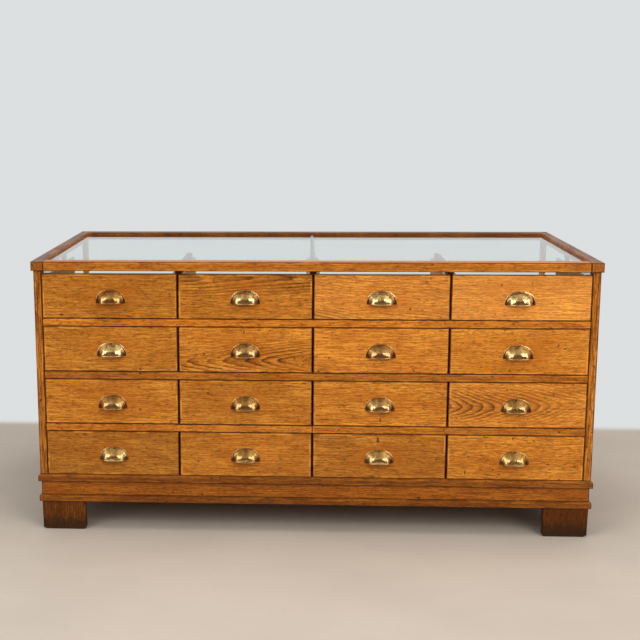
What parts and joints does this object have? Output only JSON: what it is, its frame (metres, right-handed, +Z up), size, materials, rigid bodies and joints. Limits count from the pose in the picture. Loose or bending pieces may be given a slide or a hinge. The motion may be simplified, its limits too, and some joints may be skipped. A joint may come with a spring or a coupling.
{
  "type": "shop display counter",
  "caption": "Free-standing oak shop counter with a glazed display top, glazed upper lights, banks of small drawers with brass cup pulls, a moulded plinth and low feet.",
  "frame": {"origin": "on the floor, under the middle of the counter's overall box", "axes": "+X to the right along the drawer front, +Y from the drawer front to the far side, +Z up; the drawers open towards -Y"},
  "size_m": [1.831, 0.929, 0.912],
  "materials": {
    "oak_case": "waxed quarter-sawn oak, golden brown",
    "oak_drawers": "waxed oak, golden brown",
    "oak_inner": "unfinished secondary wood",
    "dark_feet": "dark brown stained wood",
    "brass": "worn, partly tarnished",
    "bar_metal": "plated, dulled",
    "glass": "clear float glass"
  },
  "bodies": {
    "carcass": {"base_board": "oak_inner", "display_floor": "oak_inner", "drawer_dividers": "oak_inner", "drawer_rails": "oak_case", "drawer_runners": "oak_inner", "end_frame_left": "oak_case", "end_frame_right": "oak_case", "end_glass": "glass", "end_panels_left": "oak_case", "end_panels_right": "oak_case", "feet": "dark_feet", "front_post_left": "oak_case", "front_post_right": "oak_case", "plinth_front": "oak_case", "plinth_left": "oak_case", "plinth_rear": "oak_case", "plinth_right": "oak_case", "rear_frame": "oak_case", "rear_glass": "glass", "rear_panels": "oak_case", "rear_post_left": "oak_case", "rear_post_right": "oak_case", "top_glass": "glass", "top_glazing_bar": "bar_metal", "top_rail_front": "oak_case", "top_rail_left": "oak_case", "top_rail_rear": "oak_case", "top_rail_right": "oak_case"},
    "row1_col1": {"drawer_row1_col1": "oak_drawers", "pull_row1_col1": "brass"},
    "row1_col2": {"drawer_row1_col2": "oak_drawers", "pull_row1_col2": "brass"},
    "row1_col3": {"drawer_row1_col3": "oak_drawers", "pull_row1_col3": "brass"},
    "row1_col4": {"drawer_row1_col4": "oak_drawers", "pull_row1_col4": "brass"},
    "row2_col1": {"drawer_row2_col1": "oak_drawers", "pull_row2_col1": "brass"},
    "row2_col2": {"drawer_row2_col2": "oak_drawers", "pull_row2_col2": "brass"},
    "row2_col3": {"drawer_row2_col3": "oak_drawers", "pull_row2_col3": "brass"},
    "row2_col4": {"drawer_row2_col4": "oak_drawers", "pull_row2_col4": "brass"},
    "row3_col1": {"drawer_row3_col1": "oak_drawers", "pull_row3_col1": "brass"},
    "row3_col2": {"drawer_row3_col2": "oak_drawers", "pull_row3_col2": "brass"},
    "row3_col3": {"drawer_row3_col3": "oak_drawers", "pull_row3_col3": "brass"},
    "row3_col4": {"drawer_row3_col4": "oak_drawers", "pull_row3_col4": "brass"},
    "row4_col1": {"drawer_row4_col1": "oak_drawers", "pull_row4_col1": "brass"},
    "row4_col2": {"drawer_row4_col2": "oak_drawers", "pull_row4_col2": "brass"},
    "row4_col3": {"drawer_row4_col3": "oak_drawers", "pull_row4_col3": "brass"},
    "row4_col4": {"drawer_row4_col4": "oak_drawers", "pull_row4_col4": "brass"}
  },
  "joints": [
    {"name": "row1_col1_slide", "type": "slide", "parent": "carcass", "child": "row1_col1", "axis": [0, -1, 0], "range_m": [0, 0.3]},
    {"name": "row1_col2_slide", "type": "slide", "parent": "carcass", "child": "row1_col2", "axis": [0, -1, 0], "range_m": [0, 0.3]},
    {"name": "row1_col3_slide", "type": "slide", "parent": "carcass", "child": "row1_col3", "axis": [0, -1, 0], "range_m": [0, 0.3]},
    {"name": "row1_col4_slide", "type": "slide", "parent": "carcass", "child": "row1_col4", "axis": [0, -1, 0], "range_m": [0, 0.3]},
    {"name": "row2_col1_slide", "type": "slide", "parent": "carcass", "child": "row2_col1", "axis": [0, -1, 0], "range_m": [0, 0.57]},
    {"name": "row2_col2_slide", "type": "slide", "parent": "carcass", "child": "row2_col2", "axis": [0, -1, 0], "range_m": [0, 0.57]},
    {"name": "row2_col3_slide", "type": "slide", "parent": "carcass", "child": "row2_col3", "axis": [0, -1, 0], "range_m": [0, 0.57]},
    {"name": "row2_col4_slide", "type": "slide", "parent": "carcass", "child": "row2_col4", "axis": [0, -1, 0], "range_m": [0, 0.57]},
    {"name": "row3_col1_slide", "type": "slide", "parent": "carcass", "child": "row3_col1", "axis": [0, -1, 0], "range_m": [0, 0.57]},
    {"name": "row3_col2_slide", "type": "slide", "parent": "carcass", "child": "row3_col2", "axis": [0, -1, 0], "range_m": [0, 0.57]},
    {"name": "row3_col3_slide", "type": "slide", "parent": "carcass", "child": "row3_col3", "axis": [0, -1, 0], "range_m": [0, 0.57]},
    {"name": "row3_col4_slide", "type": "slide", "parent": "carcass", "child": "row3_col4", "axis": [0, -1, 0], "range_m": [0, 0.57]},
    {"name": "row4_col1_slide", "type": "slide", "parent": "carcass", "child": "row4_col1", "axis": [0, -1, 0], "range_m": [0, 0.57]},
    {"name": "row4_col2_slide", "type": "slide", "parent": "carcass", "child": "row4_col2", "axis": [0, -1, 0], "range_m": [0, 0.57]},
    {"name": "row4_col3_slide", "type": "slide", "parent": "carcass", "child": "row4_col3", "axis": [0, -1, 0], "range_m": [0, 0.57]},
    {"name": "row4_col4_slide", "type": "slide", "parent": "carcass", "child": "row4_col4", "axis": [0, -1, 0], "range_m": [0, 0.57]}
  ]
}
